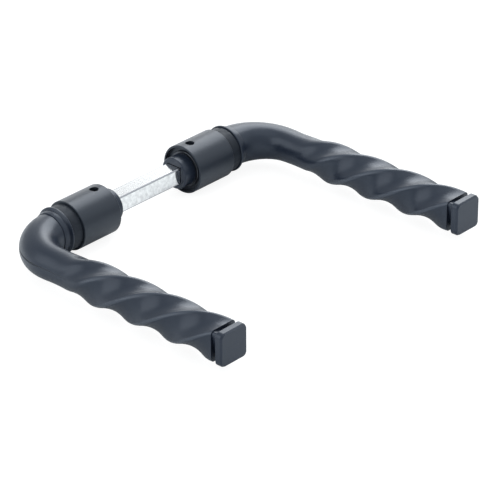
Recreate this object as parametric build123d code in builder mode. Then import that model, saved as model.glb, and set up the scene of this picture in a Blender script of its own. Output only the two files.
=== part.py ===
from build123d import *
import os
from math import cos, radians, sin

# A pair of door lever handles on one square spindle.
#
# The origin is the middle of the spindle. X runs along the spindle, with the left handle at -X
# and the right one at +X, both levers point to -Y, and +Z is up. Distances along the spindle
# are measured outwards from its middle, on either side. The reach of a place on a grip is its
# distance from the spindle axis towards -Y.
#
# Each lever is one casting: a hub with a square socket, a bead with a sharp rim and a shoulder
# behind it, a bent tapering neck, and a grip that twists to the left by one full turn and ends
# in a groove and a square cap. The hub carries a retaining ring in the recess of a collar, the
# collar itself and a slimmer spacer ring, and a grub screw under a hole in the collar clamps it
# to the spindle.

# ---------------------------------------------------------------- driving dimensions, mm

# Square spindle
spindle_side = 8.0
spindle_length = 100.0
spindle_edge_bevel = 0.35
spindle_end_bevel = 1.0

# Lengths that place the pieces along the spindle
hub_face_gap = 40.0          # between the faces of the two hubs
hub_nose = 5.4               # what the hub shows beyond the collar
collar_length = 22.6
spacer_width = 5.75
bead_width = 4.25            # rim and shoulder
bead_overlap = 1.55          # of the bead over the start of the bend

# Hub and its square socket
hub_radius = 7.5
hub_edge_bevel = 0.4
socket_clearance = 0.22      # on each side of the spindle
socket_end_gap = 4.5         # beyond the end of the spindle

# Collar
collar_radius = 11.5
collar_rim_radius = 0.4
collar_lip = 0.9             # wall round the recess for the ring
collar_recess_depth = 2.2
sleeve_clearance = 0.08      # of the collar and the rings on the hub, and between them

# Retaining ring, in a groove of the hub and at the bottom of the collar's recess
ring_height = 1.5            # of its section, across the hub
ring_thickness = 0.9
ring_edge_bevel = 0.2
ring_groove_depth = 0.6
ring_split = 2.4

# Spacer ring
spacer_radius = 10.4
spacer_edge_bevel = 0.3

# Bead
bead_radius = 11.05
bead_rim_radius = 0.4
bead_land = 0.4              # length of its cylindrical part
bead_slope = 0.6             # from the land to the corner in front of the shoulder
shoulder_radius = 9.9
shoulder_end_radius = 9.6
shoulder_bulge = 0.15        # of the shoulder, over a straight line

# Grub screw
screw_diameter = 4.0
screw_length = 6.0
screw_bevel = 0.4
screw_key_flats = 2.0
screw_key_depth = 2.2
screw_from_hub_face = 10.7
screw_hole_clearance = 0.1
screw_tip_gap = 0.04         # between its tip and the spindle

# Neck and bend
neck_radius = 9.2
wrist_radius = 7.5           # where the twist begins
bend_radius = 19.5
round_share = 0.97           # corner radius of a nearly round section, of its half width

# Twisted grip
grip_end = 118.3             # its reach
grip_start_side = 15.0
grip_end_side = 14.6
grip_start_corner_radius = 3.0
grip_end_corner_radius = 1.9
grip_blend = 21.0            # length over which the round section turns square
twist_turns = 1
twist_pitch = 89.3           # length of one full turn
twist_ease = 3.0             # length over which the twist sets in
twist_run_out = 0.3          # untwisted end of the grip

# Groove and cap
groove_width = 2.4
groove_long_half = 10.2      # half diagonals of the diamond neck in the groove
groove_short_half = 6.3
groove_corner_radius = 1.2
cap_side = 15.4
cap_length = 3.8
cap_corner_radius = 2.4
cap_front_bevel = 0.9        # along the cap
cap_front_inset = 0.5        # across it
cap_back_bevel = 0.4

# Sections through the lever
bend_step = 7.5              # degrees
grip_step = 3.7

# ---------------------------------------------------------------- places that follow

right_angle = 90.0
full_turn = 360.0

hub_face = hub_face_gap / 2
collar_start = hub_face + hub_nose
collar_end = collar_start + collar_length
spacer_end = collar_end + spacer_width
bead_end = spacer_end + bead_width
rim_end = spacer_end + bead_rim_radius + bead_land
shoulder_start = rim_end + bead_slope
bend_start = bead_end - bead_overlap
grip_axis = bend_start + bend_radius

socket_side = spindle_side + 2 * socket_clearance
socket_corner_radius = spindle_edge_bevel + socket_clearance
socket_depth = spindle_length / 2 + socket_end_gap - hub_face
sleeve_bore_radius = hub_radius + sleeve_clearance
ring_seat_radius = hub_radius - ring_groove_depth
ring_bore_radius = ring_seat_radius + sleeve_clearance
ring_radius = ring_bore_radius + ring_height
ring_end = collar_start + collar_recess_depth - sleeve_clearance
ring_start = ring_end - ring_thickness
screw_place = hub_face + screw_from_hub_face
screw_hole_radius = screw_diameter / 2 + screw_hole_clearance
screw_tip = spindle_side / 2 + screw_tip_gap

twist_end = grip_end - twist_run_out
twist_start = twist_end - twist_turns * twist_pitch - twist_ease / 2
bend_length = bend_radius * radians(right_angle)


def lengthwise(side):
    """Plane through the spindle axis: x is the distance outwards, y is the height."""
    return Plane(origin=(0, 0, 0), x_dir=(side, 0, 0), z_dir=(0, -side, 0))


def across(side, distance):
    """Plane across the spindle at a distance, facing outwards."""
    return Plane(origin=(side * distance, 0, 0), x_dir=(0, 1, 0), z_dir=(side, 0, 0))


def across_bend(side, angle):
    """Plane across the lever where its bend has turned by an angle in degrees."""
    turn = radians(angle)
    place = (side * (bend_start + bend_radius * sin(turn)), bend_radius * (cos(turn) - 1), 0)
    return Plane(
        origin=place,
        x_dir=(sin(turn), side * cos(turn), 0),
        z_dir=(side * cos(turn), -sin(turn), 0),
    )


def across_grip(side, reach):
    """Plane across the grip at a reach, facing its end."""
    return Plane(origin=(side * grip_axis, -reach, 0), x_dir=(1, 0, 0), z_dir=(0, -1, 0))


def even_steps(start, end, step):
    """Evenly spaced places from start to end, both included, about a step apart."""
    count = max(2, round((end - start) / step))
    return [start + (end - start) * index / count for index in range(count + 1)]


def smooth_share(place, start, length):
    """Share that rises from 0 to 1 over a length, level at both of its ends."""
    share = min(max((place - start) / length, 0), 1)
    return share * share * (3 - 2 * share)


def blend(first, second, share):
    """Value on the way from first to second."""
    return first + (second - first) * share


def round_half_width(way):
    """Half width of the neck, a way along its centreline from the start of the bend."""
    taper_length = bend_length + twist_start - bend_radius
    return blend(neck_radius, wrist_radius, smooth_share(way, 0, taper_length))


def twist_angle(reach):
    """Turn of the grip's section in degrees: it eases in, then runs at a steady rate."""
    run = min(max(reach - twist_start, 0), twist_end - twist_start)
    if run < twist_ease:
        return -full_turn / twist_pitch * run * run / (2 * twist_ease)
    return -full_turn / twist_pitch * (run - twist_ease / 2)


def make_spindle():
    """Square bar with bevelled edges."""
    with BuildPart() as spindle:
        with BuildSketch(Plane.YZ):
            Rectangle(spindle_side, spindle_side)
        extrude(amount=spindle_length / 2, both=True)
        chamfer(spindle.faces().filter_by(Axis.X).edges(), spindle_end_bevel)
        chamfer(spindle.edges().filter_by(Axis.X), spindle_edge_bevel)
    return spindle


def make_lever(side):
    """Lever casting, from the face of its hub to its cap."""
    with BuildPart() as lever:
        # Hub with the groove for the ring, and the bead with its shoulder
        groove_start = ring_start - sleeve_clearance
        groove_end = ring_end + sleeve_clearance
        shoulder_middle = (shoulder_start + bead_end) / 2
        shoulder_middle_radius = (shoulder_radius + shoulder_end_radius) / 2 + shoulder_bulge
        with BuildSketch(lengthwise(side)):
            with BuildLine():
                Polyline(
                    (hub_face, 0),
                    (hub_face, hub_radius - hub_edge_bevel),
                    (hub_face + hub_edge_bevel, hub_radius),
                    (groove_start, hub_radius),
                    (groove_start, ring_seat_radius),
                    (groove_end, ring_seat_radius),
                    (groove_end, hub_radius),
                    (spacer_end, hub_radius),
                    (spacer_end, bead_radius - bead_rim_radius),
                )
                RadiusArc(
                    (spacer_end, bead_radius - bead_rim_radius),
                    (spacer_end + bead_rim_radius, bead_radius),
                    bead_rim_radius,
                )
                Polyline(
                    (spacer_end + bead_rim_radius, bead_radius),
                    (rim_end, bead_radius),
                    (shoulder_start, shoulder_radius),
                )
                ThreePointArc(
                    (shoulder_start, shoulder_radius),
                    (shoulder_middle, shoulder_middle_radius),
                    (bead_end, shoulder_end_radius),
                )
                Polyline((bead_end, shoulder_end_radius), (bead_end, 0), (hub_face, 0))
            make_face()
        revolve(axis=Axis.X)

        # Neck, bend and twisted grip: one loft through sections that turn, taper and square up
        for angle in even_steps(0, right_angle, bend_step):
            half = round_half_width(bend_radius * radians(angle))
            with BuildSketch(across_bend(side, angle)):
                RectangleRounded(2 * half, 2 * half, round_share * half)
        for reach in even_steps(bend_radius, grip_end, grip_step)[1:]:
            round_half = round_half_width(bend_length + reach - bend_radius)
            grip_share = max((reach - twist_start) / (grip_end - twist_start), 0)
            grip_half = blend(grip_start_side, grip_end_side, grip_share) / 2
            grip_corner = blend(grip_start_corner_radius, grip_end_corner_radius, grip_share)
            square_share = smooth_share(reach, twist_start, grip_blend)
            half = blend(round_half, grip_half, square_share)
            corner = blend(round_share * round_half, grip_corner, square_share)
            with BuildSketch(across_grip(side, reach)):
                RectangleRounded(2 * half, 2 * half, corner, rotation=twist_angle(reach))
        loft()

        # Square cap, bevelled all round at its back and its front
        with BuildSketch(across_grip(side, grip_end + groove_width)):
            RectangleRounded(cap_side, cap_side, cap_corner_radius)
        extrude(amount=cap_length)
        back = lever.faces().filter_by(Axis.Y).sort_by(Axis.Y)[1]
        chamfer(back.edges(), cap_back_bevel)
        front = lever.faces().filter_by(Axis.Y).sort_by(Axis.Y)[0]
        chamfer(front.edges(), cap_front_inset, cap_front_bevel, reference=front)

        # Diamond neck in the groove between the grip and the cap
        with BuildSketch(across_grip(side, grip_end)) as diamond:
            with Locations(Rotation(0, 0, right_angle / 2)):
                Polygon(
                    (groove_short_half, 0),
                    (0, groove_long_half),
                    (-groove_short_half, 0),
                    (0, -groove_long_half),
                )
            fillet(diamond.vertices(), groove_corner_radius)
        extrude(amount=groove_width)

        # Square socket for the spindle, and the hole for the grub screw
        with BuildSketch(across(side, hub_face)):
            RectangleRounded(socket_side, socket_side, socket_corner_radius)
        extrude(amount=socket_depth, mode=Mode.SUBTRACT)
        with BuildSketch(Plane.XY) as screw_hole:
            with Locations((side * screw_place, 0)):
                Circle(screw_hole_radius)
        extrude(amount=2 * hub_radius, mode=Mode.SUBTRACT)
    return lever


def make_collar(side):
    """Sleeve on the hub, with rounded rims, a recess for the ring and a hole on top."""
    with BuildPart() as collar:
        with BuildSketch(across(side, collar_start)):
            Circle(collar_radius)
            Circle(sleeve_bore_radius, mode=Mode.SUBTRACT)
        extrude(amount=collar_length)
        rims = collar.edges().filter_by(GeomType.CIRCLE).group_by(SortBy.RADIUS)[-1]
        fillet(rims, collar_rim_radius)
        with BuildSketch(across(side, collar_start)):
            Circle(collar_radius - collar_lip)
        extrude(amount=collar_recess_depth, mode=Mode.SUBTRACT)
        with BuildSketch(Plane.XY):
            with Locations((side * screw_place, 0)):
                Circle(screw_hole_radius)
        extrude(amount=2 * collar_radius, mode=Mode.SUBTRACT)
    return collar


def make_spacer_ring(side):
    """Plain ring between the collar and the bead, bevelled where it meets the bead."""
    with BuildPart() as spacer_ring:
        with BuildSketch(across(side, collar_end)):
            Circle(spacer_radius)
            Circle(sleeve_bore_radius, mode=Mode.SUBTRACT)
        extrude(amount=spacer_width)
        outer_face = spacer_ring.faces().sort_by(Axis((0, 0, 0), (side, 0, 0)))[-1]
        chamfer(outer_face.edges().sort_by(SortBy.RADIUS)[-1], spacer_edge_bevel)
    return spacer_ring


def make_retaining_ring(side):
    """Split ring in the groove of the hub, its gap at the bottom."""
    with BuildPart() as retaining_ring:
        with BuildSketch(across(side, ring_start)):
            Circle(ring_radius)
            Circle(ring_bore_radius, mode=Mode.SUBTRACT)
        extrude(amount=ring_thickness)
        outer_edges = retaining_ring.edges().filter_by(GeomType.CIRCLE).group_by(SortBy.RADIUS)[-1]
        chamfer(outer_edges, ring_edge_bevel)
        with BuildSketch(Plane.XY):
            with Locations((side * (ring_start + ring_end) / 2, 0)):
                Rectangle(2 * ring_thickness, ring_split)
        extrude(amount=-2 * ring_radius, mode=Mode.SUBTRACT)
    return retaining_ring


def make_grub_screw(side):
    """Headless screw with a hexagon key socket, its tip just on the spindle."""
    with BuildPart() as grub_screw:
        with BuildSketch(Plane.XY.offset(screw_tip)):
            with Locations((side * screw_place, 0)):
                Circle(screw_diameter / 2)
        extrude(amount=screw_length)
        chamfer(grub_screw.edges().filter_by(GeomType.CIRCLE), screw_bevel)
        with BuildSketch(Plane.XY.offset(screw_tip + screw_length)):
            with Locations((side * screw_place, 0)):
                RegularPolygon(screw_key_flats / 2, 6, major_radius=False)
        extrude(amount=-screw_key_depth, mode=Mode.SUBTRACT)
    return grub_screw


def write_piece(name, piece):
    """Label a finished piece and write it under its node's name."""
    piece.part.label = name
    export_step(piece.part, f"parts/{name}.step")


os.makedirs("parts", exist_ok=True)
write_piece("spindle", make_spindle())
for side_name, side_sign in (("left", -1), ("right", 1)):
    write_piece(f"{side_name}_lever", make_lever(side_sign))
    write_piece(f"{side_name}_collar", make_collar(side_sign))
    write_piece(f"{side_name}_spacer_ring", make_spacer_ring(side_sign))
    write_piece(f"{side_name}_retaining_ring", make_retaining_ring(side_sign))
    write_piece(f"{side_name}_grub_screw", make_grub_screw(side_sign))
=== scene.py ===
"""A pair of door lever handles on a square spindle, dressed over its CAD frame.

Everything is in metres in the frame of the CAD model: X runs along the spindle, both levers
point to -Y and +Z is up.
"""

import logging
import math
from dataclasses import dataclass, field
from enum import Enum
from typing import Dict, List, Tuple, Union

import bpy
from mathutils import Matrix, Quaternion, Vector


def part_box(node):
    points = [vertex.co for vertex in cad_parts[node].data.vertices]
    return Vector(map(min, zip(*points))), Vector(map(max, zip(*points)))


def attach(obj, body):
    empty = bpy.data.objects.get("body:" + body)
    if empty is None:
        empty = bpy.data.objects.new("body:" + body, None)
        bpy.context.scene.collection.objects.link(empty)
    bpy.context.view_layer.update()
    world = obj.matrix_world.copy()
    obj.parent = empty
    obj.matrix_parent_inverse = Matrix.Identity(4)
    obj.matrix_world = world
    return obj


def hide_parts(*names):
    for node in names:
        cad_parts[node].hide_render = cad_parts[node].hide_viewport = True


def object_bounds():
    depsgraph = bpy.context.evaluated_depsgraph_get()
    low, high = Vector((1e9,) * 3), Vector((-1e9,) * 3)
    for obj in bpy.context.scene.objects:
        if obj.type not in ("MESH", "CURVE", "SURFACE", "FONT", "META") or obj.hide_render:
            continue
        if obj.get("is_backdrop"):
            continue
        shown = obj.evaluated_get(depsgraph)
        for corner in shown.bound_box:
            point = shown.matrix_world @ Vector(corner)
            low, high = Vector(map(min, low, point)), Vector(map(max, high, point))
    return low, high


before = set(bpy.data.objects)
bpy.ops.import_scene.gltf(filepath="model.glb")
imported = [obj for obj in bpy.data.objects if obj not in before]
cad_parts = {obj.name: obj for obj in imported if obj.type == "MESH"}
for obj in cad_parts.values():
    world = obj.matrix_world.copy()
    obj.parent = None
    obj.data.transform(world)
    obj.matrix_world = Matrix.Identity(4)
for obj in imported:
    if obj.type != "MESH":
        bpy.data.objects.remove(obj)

log = logging.getLogger("handles")

MM = 0.001
Colour = Tuple[float, float, float]

HALF = 0.5
COAT_TINT: Colour = (0.81, 0.89, 1.0)
COAT_RELIEF = 0.03 * MM
SOFTBOX_TINT: Colour = (0.97, 0.985, 1.0)
CAMERA_START = -90.0


class Side(Enum):
    """The two handles, by the sign of the X at which each of them is."""

    LEFT = -1
    RIGHT = 1

    @property
    def label(self) -> str:
        """Word that starts the names of this side's nodes and pieces."""
        return self.name.lower()


class Noise(Enum):
    """Kinds of unevenness that a finish may show."""

    MOTTLE = "mottle"
    GRAIN = "grain"
    DRAWN = "drawn"


class Wear(Enum):
    """Places where a finish gets lines of painted light: a painted highlight along the grip ridges
    and painted shade along the bar edges.
    """

    NONE = "none"
    BAR_EDGES = "bar edges"
    GRIP_RIDGES = "grip ridges"


# ------------------------------------------------------------------ shared node groups


def new_group(name: str, inputs: Dict[str, float], outputs: List[str]) -> bpy.types.NodeTree:
    """Makes an empty shader node group with number sockets.

    Args:
        name: The group's name.
        inputs: Input names with their default values.
        outputs: Output names.

    Returns:
        The group, with its input and output nodes in place.
    """
    group = bpy.data.node_groups.new(name, "ShaderNodeTree")
    group.interface.new_socket(name="Place", in_out="INPUT", socket_type="NodeSocketVector")
    for socket_name, value in inputs.items():
        socket = group.interface.new_socket(
            name=socket_name, in_out="INPUT", socket_type="NodeSocketFloat"
        )
        socket.default_value = value
    for socket_name in outputs:
        group.interface.new_socket(
            name=socket_name, in_out="OUTPUT", socket_type="NodeSocketFloat"
        )
    group.nodes.new("NodeGroupInput").name = "in"
    group.nodes.new("NodeGroupOutput").name = "out"
    return group


def math_node(tree: bpy.types.NodeTree, operation: str, *values: object) -> bpy.types.NodeSocket:
    """Adds a Math node.

    Args:
        tree: The node tree that gets it.
        operation: Blender's name of the operation.
        values: A number or a socket for each input.

    Returns:
        The node's output socket.
    """
    node = tree.nodes.new("ShaderNodeMath")
    node.operation = operation
    for index, value in enumerate(values):
        if isinstance(value, bpy.types.NodeSocket):
            tree.links.new(value, node.inputs[index])
        else:
            node.inputs[index].default_value = value
    return node.outputs[0]


def clamped(tree: bpy.types.NodeTree, value: bpy.types.NodeSocket) -> bpy.types.NodeSocket:
    """Keeps a value between 0 and 1.

    Args:
        tree: The node tree.
        value: Socket with the value.

    Returns:
        Socket with the value that is kept.
    """
    return math_node(tree, "MINIMUM", math_node(tree, "MAXIMUM", value, 0.0), 1.0)


def length_of(
    tree: bpy.types.NodeTree, first: bpy.types.NodeSocket, second: bpy.types.NodeSocket
) -> bpy.types.NodeSocket:
    """Finds the length of a flat vector.

    Args:
        tree: The node tree.
        first: Socket with its one part.
        second: Socket with its other part.

    Returns:
        Socket with the length.
    """
    squares = [math_node(tree, "MULTIPLY", part, part) for part in (first, second)]
    return math_node(tree, "SQRT", math_node(tree, "ADD", *squares))


def parts_of_place(group: bpy.types.NodeTree) -> bpy.types.bpy_prop_collection:
    """Splits the place that a group is given.

    Args:
        group: The group.

    Returns:
        The outputs X, Y and Z.
    """
    apart = group.nodes.new("ShaderNodeSeparateXYZ")
    group.links.new(group.nodes["in"].outputs["Place"], apart.inputs["Vector"])
    return apart.outputs


def noise_node(group: bpy.types.NodeTree, detail: float) -> bpy.types.Node:
    """Adds a Noise Texture node.

    Args:
        group: The group that gets it.
        detail: How many finer layers it has.

    Returns:
        The node.
    """
    noise = group.nodes.new("ShaderNodeTexNoise")
    noise.inputs["Detail"].default_value = detail
    return noise


def mottle_group() -> bpy.types.NodeTree:
    """Soft uneven patches, from 0 to 1 about a half.

    Returns:
        The group.
    """
    group = new_group("Soft mottle", {"Scale": 60.0, "Contrast": 1.0}, ["Mask"])
    source, sink = group.nodes["in"], group.nodes["out"]
    noise = noise_node(group, detail=3.0)
    noise.inputs["Roughness"].default_value = 0.55
    group.links.new(source.outputs["Place"], noise.inputs["Vector"])
    group.links.new(source.outputs["Scale"], noise.inputs["Scale"])
    centred = math_node(group, "SUBTRACT", noise.outputs["Fac"], HALF)
    spread = math_node(group, "MULTIPLY", centred, source.outputs["Contrast"])
    mask = math_node(group, "ADD", spread, HALF)
    group.links.new(mask, sink.inputs["Mask"])
    return group


def grain_group() -> bpy.types.NodeTree:
    """Fine rounded grain of a sprayed coat over a casting, as a height from 0 to 1.

    Returns:
        The group.
    """
    group = new_group("Coat grain", {"Scale": 900.0, "Waves": 180.0}, ["Height"])
    source, sink = group.nodes["in"], group.nodes["out"]
    shares = []
    for scale, detail, share in (("Scale", 1.0, 0.35), ("Waves", 2.0, 0.65)):
        noise = noise_node(group, detail)
        group.links.new(source.outputs["Place"], noise.inputs["Vector"])
        group.links.new(source.outputs[scale], noise.inputs["Scale"])
        shares.append(math_node(group, "MULTIPLY", noise.outputs["Fac"], share))
    height = math_node(group, "ADD", *shares)
    group.links.new(height, sink.inputs["Height"])
    return group


def drawn_group() -> bpy.types.NodeTree:
    """Fine lines along X, as a bar has from its drawing die.

    Returns:
        The group.
    """
    group = new_group("Drawn lines", {"Across": 2500.0, "Along": 25.0}, ["Height"])
    source, sink = group.nodes["in"], group.nodes["out"]
    place = parts_of_place(group)
    joined = group.nodes.new("ShaderNodeCombineXYZ")
    for axis, scale in (("X", "Along"), ("Y", "Across"), ("Z", "Across")):
        stretched = math_node(group, "MULTIPLY", place[axis], source.outputs[scale])
        group.links.new(stretched, joined.inputs[axis])
    noise = noise_node(group, detail=2.0)
    noise.inputs["Scale"].default_value = 1.0
    group.links.new(joined.outputs["Vector"], noise.inputs["Vector"])
    group.links.new(noise.outputs["Fac"], sink.inputs["Height"])
    return group


def seam_group() -> bpy.types.NodeTree:
    """Parting line of a casting: a fine groove on the outside of the bends that fades along -Y;
    its mask also lays painted shade in the groove.

    Returns:
        The group.
    """
    group = new_group(
        "Casting seam",
        {
            "Height": 1.1 * MM,
            "Half width": 0.45 * MM,
            "From": -8 * MM,
            "To": -38 * MM,
            "Inner edge": 60 * MM,
            "Bend across": 56.45 * MM,
            "Bend along": -19.5 * MM,
            "Bend reach": 24 * MM,
        },
        ["Mask"],
    )
    source, sink = group.nodes["in"].outputs, group.nodes["out"]
    place = parts_of_place(group)
    away = math_node(group, "ABSOLUTE", math_node(group, "SUBTRACT", place["Z"], source["Height"]))
    share = math_node(group, "DIVIDE", away, source["Half width"])
    line = math_node(group, "MAXIMUM", math_node(group, "SUBTRACT", 1.0, share), 0.0)
    run = math_node(group, "SUBTRACT", place["Y"], source["To"])
    whole = math_node(group, "SUBTRACT", source["From"], source["To"])
    fade = clamped(group, math_node(group, "DIVIDE", run, whole))
    outwards = math_node(group, "ABSOLUTE", place["X"])
    on_bend = math_node(group, "GREATER_THAN", outwards, source["Inner edge"])
    across = math_node(group, "SUBTRACT", outwards, source["Bend across"])
    along = math_node(group, "SUBTRACT", place["Y"], source["Bend along"])
    reach = length_of(group, across, along)
    outer = math_node(group, "GREATER_THAN", reach, source["Bend reach"])
    mask = math_node(
        group, "MULTIPLY", math_node(group, "MULTIPLY", line, fade),
        math_node(group, "MULTIPLY", on_bend, outer),
    )
    group.links.new(mask, sink.inputs["Mask"])
    return group


def bar_edges_group() -> bpy.types.NodeTree:
    """Lines along the long edges of a square bar about the X axis, where a darker tone is painted
    as shade.

    Returns:
        The group.
    """
    group = new_group(
        "Bar edges", {"Half side": 4 * MM, "Full at": 0.45 * MM, "Gone at": 0.75 * MM}, ["Mask"]
    )
    source, sink = group.nodes["in"].outputs, group.nodes["out"]
    place = parts_of_place(group)
    out = [math_node(group, "ABSOLUTE", place[axis]) for axis in ("Y", "Z")]
    corner = math_node(group, "MULTIPLY", source["Half side"], 2.0)
    inset = math_node(group, "SUBTRACT", corner, math_node(group, "ADD", *out))
    fade = group.nodes.new("ShaderNodeMapRange")
    group.links.new(inset, fade.inputs["Value"])
    group.links.new(source["Full at"], fade.inputs["From Min"])
    group.links.new(source["Gone at"], fade.inputs["From Max"])
    fade.inputs["To Min"].default_value = 1.0
    fade.inputs["To Max"].default_value = 0.0
    group.links.new(fade.outputs["Result"], sink.inputs["Mask"])
    return group


def grip_ridges_group() -> bpy.types.NodeTree:
    """Lines along the crests of the twisted grips' ridges, where a lighter tone is painted as a
    highlight.

    Returns:
        The group.
    """
    group = new_group(
        "Grip ridges",
        {
            "Axis": 75.95 * MM,
            "Begins at": -34 * MM,
            "Ends at": -118.5 * MM,
            "First radius": 9.38 * MM,
            "Last radius": 9.53 * MM,
            "Depth": 0.24 * MM,
        },
        ["Mask"],
    )
    source, sink = group.nodes["in"].outputs, group.nodes["out"]
    place = parts_of_place(group)
    outwards = math_node(group, "ABSOLUTE", place["X"])
    across = math_node(group, "SUBTRACT", outwards, source["Axis"])
    radius = length_of(group, across, place["Z"])
    crest = group.nodes.new("ShaderNodeMapRange")
    for socket, name in (("From Min", "Begins at"), ("From Max", "Ends at"),
                         ("To Min", "First radius"), ("To Max", "Last radius")):
        group.links.new(source[name], crest.inputs[socket])
    group.links.new(place["Y"], crest.inputs["Value"])
    below = math_node(group, "SUBTRACT", crest.outputs["Result"], radius)
    share = math_node(group, "DIVIDE", below, source["Depth"])
    near = clamped(group, math_node(group, "SUBTRACT", 1.0, share))
    past_start = math_node(group, "LESS_THAN", place["Y"], source["Begins at"])
    before_end = math_node(group, "GREATER_THAN", place["Y"], source["Ends at"])
    on_grip = math_node(group, "MULTIPLY", past_start, before_end)
    group.links.new(math_node(group, "MULTIPLY", near, on_grip), sink.inputs["Mask"])
    return group


class Textures:
    """The shared node groups, each built once."""

    def __init__(self) -> None:
        """Builds every group."""
        self.groups: Dict[Noise, bpy.types.NodeTree] = {
            Noise.MOTTLE: mottle_group(),
            Noise.GRAIN: grain_group(),
            Noise.DRAWN: drawn_group(),
        }
        self.seam = seam_group()
        # Masks for the painted light lines: painted highlight on the grip ridges, painted shade on
        # the bar edges.
        self.wear: Dict[Wear, bpy.types.NodeTree] = {
            Wear.BAR_EDGES: bar_edges_group(),
            Wear.GRIP_RIDGES: grip_ridges_group(),
        }


# ------------------------------------------------------------------ finishes


@dataclass(frozen=True)
class Finish:
    """A surface finish: two close tones, a roughness with its spread, and a fine relief.

    Its slot names a material slot for a new piece and is not used. CAD nodes keep their own.
    """

    name: str
    tone: Colour
    second_tone: Colour
    slot: str = ""
    metallic: float = 0.0
    roughness: float = 0.4
    roughness_spread: float = 0.06
    ior: float = 1.5
    sheen_tint: Colour = (1.0, 1.0, 1.0)
    mottle_scale: float = 60.0
    mottle_contrast: float = 1.6
    relief: Noise = Noise.GRAIN
    relief_height: float = 0.01 * MM
    relief_strength: float = 0.4
    seam: bool = False
    # The seam's dark tone is painted shade in its groove.
    seam_shade_tone: Colour = (0.001, 0.0012, 0.0018)
    seam_roughness: float = 0.7
    seam_depth: float = 0.40 * MM
    # Painted light lines: their tone is a painted highlight on the grip ridges and painted shade
    # on the bar edges; their roughness changes too.
    wear: Wear = Wear.NONE
    wear_tone: Colour = (0.30, 0.31, 0.33)
    wear_roughness: float = 0.3

    def material(self, textures: Textures) -> bpy.types.Material:
        """Builds the finish as a node material.

        Args:
            textures: The shared node groups.

        Returns:
            The new material.
        """
        made = bpy.data.materials.new(self.name)
        made.use_nodes = True
        tree = made.node_tree
        shader = tree.nodes["Principled BSDF"]
        shader.inputs["Metallic"].default_value = self.metallic
        shader.inputs["IOR"].default_value = self.ior
        shader.inputs["Specular Tint"].default_value = (*self.sheen_tint, 1.0)
        place = tree.nodes.new("ShaderNodeTexCoord").outputs["Object"]

        mottle = self._group(tree, textures.groups[Noise.MOTTLE], place)
        mottle.inputs["Scale"].default_value = self.mottle_scale
        mottle.inputs["Contrast"].default_value = self.mottle_contrast
        tones = tree.nodes.new("ShaderNodeMix")
        tones.data_type = "RGBA"
        tones.inputs["A"].default_value = (*self.tone, 1.0)
        tones.inputs["B"].default_value = (*self.second_tone, 1.0)
        tree.links.new(mottle.outputs["Mask"], tones.inputs["Factor"])
        colour = tones.outputs["Result"]

        spread = tree.nodes.new("ShaderNodeMapRange")
        spread.inputs["To Min"].default_value = self.roughness - self.roughness_spread
        spread.inputs["To Max"].default_value = self.roughness + self.roughness_spread
        tree.links.new(mottle.outputs["Mask"], spread.inputs["Value"])
        roughness = spread.outputs["Result"]

        # Painted light lines: a lighter tone as a painted highlight on the grip ridges, a darker
        # tone as painted shade on the bar edges.
        if self.wear is not Wear.NONE:
            painted_line_mask = self._group(tree, textures.wear[self.wear], place).outputs["Mask"]
            colour = self._change(tree, painted_line_mask, colour, (*self.wear_tone, 1.0))
            roughness = self._change(tree, painted_line_mask, roughness, self.wear_roughness)

        relief = self._group(tree, textures.groups[self.relief], place)
        bump = self._bump(tree, relief.outputs["Height"], self.relief_height, self.relief_strength)
        if self.seam:
            seam = self._group(tree, textures.seam, place).outputs["Mask"]
            # The seam's dark tone is painted shade in the groove; the sunk bump below is the
            # groove itself.
            colour = self._change(tree, seam, colour, (*self.seam_shade_tone, 1.0))
            roughness = self._change(tree, seam, roughness, self.seam_roughness)
            sunk = self._bump(tree, seam, self.seam_depth, 1.0)
            sunk.invert = True
            tree.links.new(bump.outputs["Normal"], sunk.inputs["Normal"])
            bump = sunk

        tree.links.new(colour, shader.inputs["Base Color"])
        tree.links.new(roughness, shader.inputs["Roughness"])
        tree.links.new(bump.outputs["Normal"], shader.inputs["Normal"])
        return made

    def _change(
        self,
        tree: bpy.types.NodeTree,
        mask: bpy.types.NodeSocket,
        usual: bpy.types.NodeSocket,
        marked: Union[float, Tuple[float, ...]],
    ) -> bpy.types.NodeSocket:
        """Changes a colour or a number where a mask says so.

        Args:
            tree: The material's node tree.
            mask: Socket that is 1 where the change is whole.
            usual: Socket with the value elsewhere.
            marked: The value where the mask is 1.

        Returns:
            Socket with the mixed value.
        """
        mix = tree.nodes.new("ShaderNodeMix")
        if isinstance(marked, tuple):
            mix.data_type = "RGBA"
        tree.links.new(mask, mix.inputs["Factor"])
        tree.links.new(usual, mix.inputs["A"])
        mix.inputs["B"].default_value = marked
        return mix.outputs["Result"]

    def _group(
        self, tree: bpy.types.NodeTree, group: bpy.types.NodeTree, place: bpy.types.NodeSocket
    ) -> bpy.types.Node:
        """Places a shared group in a material and gives it the place.

        Args:
            tree: The material's node tree.
            group: The shared group.
            place: Socket with the object coordinates.

        Returns:
            The group's node.
        """
        node = tree.nodes.new("ShaderNodeGroup")
        node.node_tree = group
        tree.links.new(place, node.inputs["Place"])
        return node

    def _bump(
        self,
        tree: bpy.types.NodeTree,
        height: bpy.types.NodeSocket,
        distance: float,
        strength: float,
    ) -> bpy.types.Node:
        """Adds a Bump node.

        Args:
            tree: The material's node tree.
            height: Socket with the height from 0 to 1.
            distance: What a height of 1 stands for, in metres.
            strength: Share of the relief that shows.

        Returns:
            The Bump node.
        """
        bump = tree.nodes.new("ShaderNodeBump")
        bump.inputs["Distance"].default_value = distance
        bump.inputs["Strength"].default_value = strength
        tree.links.new(height, bump.inputs["Height"])
        return bump


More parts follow.
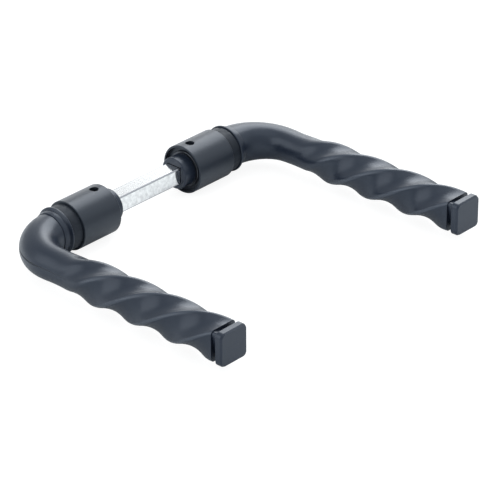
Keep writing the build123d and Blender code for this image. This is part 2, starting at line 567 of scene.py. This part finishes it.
LEVER_COAT = Finish(
    name="Satin black powder coat",
    tone=(0.0099, 0.0145, 0.0252),
    second_tone=(0.0130, 0.0182, 0.0300),
    roughness=0.32,
    roughness_spread=0.03,
    ior=1.47,
    sheen_tint=COAT_TINT,
    mottle_scale=45.0,
    relief_height=COAT_RELIEF,
    relief_strength=0.7,
    # The seam is a sunk groove with painted shade in it.
    seam=True,
    # The lighter tone along the grip ridge crests is a painted highlight.
    wear=Wear.GRIP_RIDGES,
    wear_tone=(0.040, 0.048, 0.064),
    wear_roughness=0.26,
)
COLLAR_COAT = Finish(
    name="Satin black collar coat",
    tone=(0.0108, 0.0150, 0.0226),
    second_tone=(0.0143, 0.0182, 0.0260),
    roughness=0.36,
    roughness_spread=0.03,
    ior=1.47,
    sheen_tint=COAT_TINT,
    mottle_scale=70.0,
    relief_height=COAT_RELIEF,
    relief_strength=0.7,
)
SPACER_NYLON = Finish(
    name="Matt black nylon",
    tone=(0.0070, 0.0095, 0.0145),
    second_tone=(0.0145, 0.0180, 0.0245),
    roughness=0.52,
    roughness_spread=0.10,
    ior=1.33,
    sheen_tint=COAT_TINT,
    mottle_scale=420.0,
    mottle_contrast=3.2,
)
RING_STEEL = Finish(
    name="Dark spring steel",
    tone=(0.050, 0.054, 0.064),
    second_tone=(0.085, 0.090, 0.100),
    metallic=1.0,
    roughness=0.30,
    mottle_scale=250.0,
)
SCREW_OXIDE = Finish(
    name="Black oxide steel",
    slot="screw_black",
    tone=(0.035, 0.038, 0.044),
    second_tone=(0.055, 0.058, 0.066),
    metallic=1.0,
    roughness=0.34,
    mottle_scale=300.0,
)
SPINDLE_ZINC = Finish(
    name="Bright zinc plate",
    tone=(0.91, 0.91, 0.90),
    second_tone=(0.63, 0.63, 0.63),
    metallic=1.0,
    roughness=0.14,
    roughness_spread=0.06,
    mottle_scale=520.0,
    mottle_contrast=2.8,
    # The darker tone along the bar's long edges is painted shade.
    wear=Wear.BAR_EDGES,
    relief=Noise.DRAWN,
    relief_height=0.004 * MM,
    relief_strength=0.5,
)


# ------------------------------------------------------------------ sub-assemblies


def pick(piece: bpy.types.Object) -> None:
    """Makes one object the only selected one and the active one.

    Args:
        piece: The object.
    """
    bpy.ops.object.select_all(action="DESELECT")
    bpy.context.view_layer.objects.active = piece
    piece.select_set(True)


def apply_place() -> None:
    """Puts the selected objects' places, turns and sizes into their meshes."""
    bpy.ops.object.transform_apply(location=True, rotation=True, scale=True)


def dress(node_name: str, material: bpy.types.Material) -> bpy.types.Object:
    """Gives a CAD node one material all over.

    Args:
        node_name: The node's name.
        material: The material.

    Returns:
        The node's object.
    """
    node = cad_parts[node_name]
    node.data.materials.clear()
    node.data.materials.append(material)
    return node


@dataclass
class SpindleBar:
    """The square bar that joins the two handles."""

    node: str = "spindle"
    finish: Finish = SPINDLE_ZINC

    def build(self, textures: Textures) -> List[bpy.types.Object]:
        """Dresses the bar.

        Args:
            textures: The shared node groups.

        Returns:
            The bar's object, alone in a list.
        """
        return [dress(self.node, self.finish.material(textures))]


@dataclass
class GrubScrew:
    """Headless screw with a cut thread and a hexagon key socket, modelled about the Z axis.

    The thread is made longer by the spare turns and wider by the crest cut than the screw, and
    a bevelled blank then cuts it to size. Steps is the number of facets in a turn. Points closer
    than the weld are joined. A face whose normal leans along Z by more than the end face's lean
    is an end face, and an edge sharper than the sharp edge, in degrees, stays sharp.
    """

    diameter: float = 4.0 * MM
    length: float = 6.0 * MM
    pitch: float = 0.7 * MM
    thread_depth: float = 0.42 * MM
    crest_cut: float = 0.05 * MM
    end_bevel: float = 0.4 * MM
    key_flats: float = 2.0 * MM
    key_depth: float = 2.2 * MM
    key_reach: float = 1.0 * MM
    steps: int = 32
    spare_turns: int = 3
    weld: float = 0.001 * MM
    end_face_lean: float = 0.9
    sharp_edge: float = 30.0
    finish: Finish = SCREW_OXIDE

    def build(self) -> bpy.types.Object:
        """Models the screw with its middle at the origin.

        Returns:
            The new object, without a material.
        """
        blank = self._blank()
        self._carve(blank, self._key(), "DIFFERENCE")
        screw = self._thread()
        self._carve(screw, blank, "INTERSECT")
        pick(screw)
        bpy.ops.object.shade_smooth_by_angle(angle=math.radians(self.sharp_edge))
        return screw

    def place(
        self, model: bpy.types.Object, side: Side, textures: Textures
    ) -> bpy.types.Object:
        """Puts a copy of the screw where a handle's plain screw is, and lets it stand for that.

        Args:
            model: The screw about the origin.
            side: The handle.
            textures: The shared node groups.

        Returns:
            The placed copy.
        """
        node = f"{side.label}_grub_screw"
        lowest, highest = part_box(node)
        piece = model.copy()
        piece.data = model.data.copy()
        piece.name = f"{side.label}_threaded_screw"
        bpy.context.scene.collection.objects.link(piece)
        piece.data.materials.append(self.finish.material(textures))
        pick(piece)
        piece.location = (Vector(lowest) + Vector(highest)) / 2
        apply_place()
        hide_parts(node)
        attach(piece, f"{side.label}_screw")
        return piece

    def _thread(self) -> bpy.types.Object:
        """A closed threaded rod, longer than the screw.

        Returns:
            The rod's object.
        """
        turns = math.ceil(self.length / self.pitch) + self.spare_turns
        rod = self._thread_profile(turns)
        spin = rod.modifiers.new("Thread", "SCREW")
        spin.axis = "Z"
        spin.angle = 2 * math.pi
        spin.steps = spin.render_steps = self.steps
        spin.iterations = turns
        spin.screw_offset = self.pitch
        bpy.ops.object.modifier_apply(modifier=spin.name)
        bpy.ops.object.mode_set(mode="EDIT")
        bpy.ops.mesh.select_all(action="SELECT")
        bpy.ops.mesh.remove_doubles(threshold=self.weld)
        for up in (-1, 1):
            bpy.ops.mesh.select_all(action="SELECT")
            bpy.ops.mesh.bisect(
                plane_co=(0, 0, up * (self.length + self.pitch) / 2), plane_no=(0, 0, up),
                use_fill=True, clear_outer=True,
            )
        bpy.ops.mesh.select_all(action="SELECT")
        bpy.ops.mesh.normals_make_consistent(inside=False)
        bpy.ops.object.mode_set(mode="OBJECT")
        return rod

    def _thread_profile(self, turns: int) -> bpy.types.Object:
        """The outer half of a diamond: one pitch of the thread, at the bottom of the rod.

        Args:
            turns: The number of turns that the rod will have.

        Returns:
            The profile's object.
        """
        root = self.diameter / 2 + self.crest_cut - self.thread_depth
        bpy.ops.object.select_all(action="DESELECT")
        bpy.ops.mesh.primitive_circle_add(
            vertices=4, radius=self.pitch / 2, rotation=(math.pi / 2, 0, 0),
            location=(root, 0, -turns * self.pitch / 2),
        )
        profile = bpy.context.object
        profile.name = "screw_model"
        profile.scale = (self.thread_depth / (self.pitch / 2), 1, 1)
        apply_place()
        inside = root - self.thread_depth / 2
        for vertex in profile.data.vertices:
            vertex.select = vertex.co.x < inside
        for edge in profile.data.edges:
            edge.select = False
        bpy.ops.object.mode_set(mode="EDIT")
        bpy.ops.mesh.select_mode(type="VERT")
        bpy.ops.mesh.delete(type="VERT")
        bpy.ops.object.mode_set(mode="OBJECT")
        return profile

    def _blank(self) -> bpy.types.Object:
        """The rod that the thread is cut from, bevelled at both ends.

        Returns:
            The rod's object.
        """
        bpy.ops.object.select_all(action="DESELECT")
        bpy.ops.mesh.primitive_cylinder_add(
            vertices=2 * self.steps, radius=self.diameter / 2, depth=self.length
        )
        blank = bpy.context.object
        bpy.ops.object.mode_set(mode="EDIT")
        bpy.ops.mesh.select_mode(type="FACE")
        bpy.ops.mesh.select_all(action="DESELECT")
        bpy.ops.object.mode_set(mode="OBJECT")
        for face in blank.data.polygons:
            face.select = abs(face.normal.z) > self.end_face_lean
        bpy.ops.object.mode_set(mode="EDIT")
        bpy.ops.mesh.bevel(offset=self.end_bevel, offset_type="OFFSET", segments=1)
        bpy.ops.object.mode_set(mode="OBJECT")
        return blank

    def _key(self) -> bpy.types.Object:
        """The hexagon that the key socket is cut with, reaching out past the screw's top.

        Returns:
            The hexagon's object.
        """
        depth = self.key_depth + self.key_reach
        bpy.ops.object.select_all(action="DESELECT")
        bpy.ops.mesh.primitive_cylinder_add(
            vertices=6, radius=self.key_flats / math.sqrt(3), depth=depth,
            location=(0, 0, self.length / 2 + self.key_reach - depth / 2),
        )
        key = bpy.context.object
        apply_place()
        return key

    def _carve(self, target: bpy.types.Object, tool: bpy.types.Object, operation: str) -> None:
        """Keeps or removes what a target shares with a tool, and clears the tool away.

        Args:
            target: The object that is shaped.
            tool: The object that shapes it.
            operation: INTERSECT or DIFFERENCE.
        """
        carve = target.modifiers.new("Carve", "BOOLEAN")
        carve.object = tool
        carve.operation = operation
        carve.solver = "EXACT"
        pick(target)
        bpy.ops.object.modifier_apply(modifier=carve.name)
        bpy.data.objects.remove(tool, do_unlink=True)


@dataclass
class Handle:
    """One handle: its lever, collar and rings, and the grub screw that clamps it."""

    side: Side
    finishes: Dict[str, Finish] = field(
        default_factory=lambda: {
            "lever": LEVER_COAT,
            "collar": COLLAR_COAT,
            "spacer_ring": SPACER_NYLON,
            "retaining_ring": RING_STEEL,
        }
    )
    screw: GrubScrew = field(default_factory=GrubScrew)

    def build(self, textures: Textures, screw_model: bpy.types.Object) -> List[bpy.types.Object]:
        """Dresses the nodes of the handle and puts in its screw.

        Args:
            textures: The shared node groups.
            screw_model: The screw about the origin, which is copied.

        Returns:
            The dressed objects and the screw.
        """
        dressed = [
            dress(f"{self.side.label}_{part}", finish.material(textures))
            for part, finish in self.finishes.items()
        ]
        return dressed + [self.screw.place(screw_model, self.side, textures)]


# ------------------------------------------------------------------ studio


def direction(azimuth: float, elevation: float) -> Vector:
    """Turns two angles into a direction.

    Args:
        azimuth: Angle from +X towards +Y, in degrees.
        elevation: Angle above the floor, in degrees.

    Returns:
        The direction, with a length of 1.
    """
    turn, tilt = math.radians(azimuth), math.radians(elevation)
    flat = math.cos(tilt)
    return Vector((math.cos(turn) * flat, math.sin(turn) * flat, math.sin(tilt)))


@dataclass(frozen=True)
class Softbox:
    """A square soft light that faces the middle of the part.

    Its azimuth is counted from +X towards +Y. Both angles are in degrees, and its power is in
    watts.
    """

    name: str
    azimuth: float
    elevation: float
    distance: float
    size: float
    power: float
    tint: Colour = SOFTBOX_TINT

    def build(self) -> None:
        """Hangs the light."""
        out = direction(self.azimuth, self.elevation)
        light = bpy.data.lights.new(self.name, "AREA")
        light.energy = self.power
        light.size = self.size
        light.color = self.tint
        holder = bpy.data.objects.new(self.name, light)
        holder.location = out * self.distance
        holder.rotation_euler = (-out).to_track_quat("-Z", "Y").to_euler()
        bpy.context.scene.collection.objects.link(holder)


@dataclass
class Studio:
    """A pale glowing floor, soft light all round and the camera.

    The camera's azimuth is counted from -Y towards +X, which is at the angle CAMERA_START. Its
    angles are in degrees and its lens and sensor are in millimetres.
    """

    azimuth: float = -47.80
    elevation: float = 28.27
    roll: float = -0.2
    distance: float = 1.230
    lens: float = 206.7
    sensor: float = 36.0
    clip: Tuple[float, float] = (0.1, 20.0)
    aim_offset: Tuple[float, float, float] = (-0.01154, -0.01829, 0.00029)
    floor_size: float = 8.0
    floor_tone: Colour = (0.22, 0.22, 0.22)
    floor_glow: float = 0.88
    floor_roughness: float = 0.9
    return_tone: Colour = (0.83, 0.85, 0.86)
    surround: float = 0.81
    surround_tint: Colour = (0.93, 0.97, 1.0)
    softboxes: Tuple[Softbox, ...] = (
        Softbox("Key softbox", 19.0, 43.0, distance=0.8, size=0.545, power=4.2),
        Softbox("Back softbox", 38.5, 4.8, distance=0.8, size=0.64, power=1.5),
        Softbox("Side softbox", 158.0, 28.0, distance=1.6, size=1.44, power=9.4),
        Softbox("Front softbox", -45.0, 42.0, distance=1.6, size=1.3, power=2.6),
        Softbox("Top softbox", -118.0, 80.0, distance=0.9, size=0.7, power=1.0),
    )

    def build(self) -> None:
        """Sets up the colour view, the surround, the floor, the lights and the camera."""
        bpy.context.scene.view_settings.view_transform = "Standard"
        self._surround()
        self._floor()
        for softbox in self.softboxes:
            softbox.build()
        self._camera()

    def _surround(self) -> None:
        """Even light from all sides."""
        world = bpy.data.worlds.new("Soft surround")
        world.use_nodes = True
        background = world.node_tree.nodes["Background"]
        background.inputs["Color"].default_value = (*self.surround_tint, 1.0)
        background.inputs["Strength"].default_value = self.surround
        bpy.context.scene.world = world

    def _floor(self) -> None:
        """A pale floor that the collars stand on: it glows to the camera and not to the part."""
        lowest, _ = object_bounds()
        bpy.ops.object.select_all(action="DESELECT")
        bpy.ops.mesh.primitive_plane_add(size=self.floor_size, location=(0, 0, lowest.z))
        floor = bpy.context.object
        floor.name = "studio_floor"
        apply_place()
        sheet = bpy.data.materials.new("Pale floor")
        sheet.use_nodes = True
        tree = sheet.node_tree
        shader = tree.nodes["Principled BSDF"]
        shader.inputs["Roughness"].default_value = self.floor_roughness
        shader.inputs["Specular IOR Level"].default_value = 0.0
        shader.inputs["Emission Color"].default_value = (1.0, 1.0, 1.0, 1.0)
        seen = tree.nodes.new("ShaderNodeLightPath").outputs["Is Camera Ray"]
        glow = math_node(tree, "MULTIPLY", seen, self.floor_glow)
        tree.links.new(glow, shader.inputs["Emission Strength"])
        tones = tree.nodes.new("ShaderNodeMix")
        tones.data_type = "RGBA"
        tones.inputs["A"].default_value = (*self.return_tone, 1.0)
        tones.inputs["B"].default_value = (*self.floor_tone, 1.0)
        tree.links.new(seen, tones.inputs["Factor"])
        tree.links.new(tones.outputs["Result"], shader.inputs["Base Color"])
        floor.data.materials.append(sheet)
        floor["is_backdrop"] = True

    def _camera(self) -> None:
        """The camera at its azimuth and elevation, aimed beside the middle of the part."""
        lowest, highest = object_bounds()
        aim = (lowest + highest) / 2 + Vector(self.aim_offset)
        back = direction(CAMERA_START + self.azimuth, self.elevation)
        data = bpy.data.cameras.new("Camera")
        data.lens = self.lens
        data.sensor_width = self.sensor
        data.clip_start, data.clip_end = self.clip
        camera = bpy.data.objects.new("Camera", data)
        camera.location = aim + back * self.distance
        roll = Quaternion((0.0, 0.0, 1.0), math.radians(self.roll))
        facing = (-back).to_track_quat("-Z", "Y") @ roll
        camera.rotation_euler = facing.to_euler()
        bpy.context.scene.collection.objects.link(camera)
        bpy.context.scene.camera = camera


def main() -> None:
    """Builds every sub-assembly in order and reports the pieces."""
    logging.basicConfig(level=logging.INFO)
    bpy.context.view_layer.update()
    textures = Textures()
    Studio().build()
    screw_model = GrubScrew().build()
    pieces = SpindleBar().build(textures)
    for side in Side:
        pieces += Handle(side).build(textures, screw_model)
    bpy.data.objects.remove(screw_model, do_unlink=True)
    for piece in pieces:
        log.info("%s: %d faces", piece.name, len(piece.data.polygons))


if __name__ == "__main__":
    main()
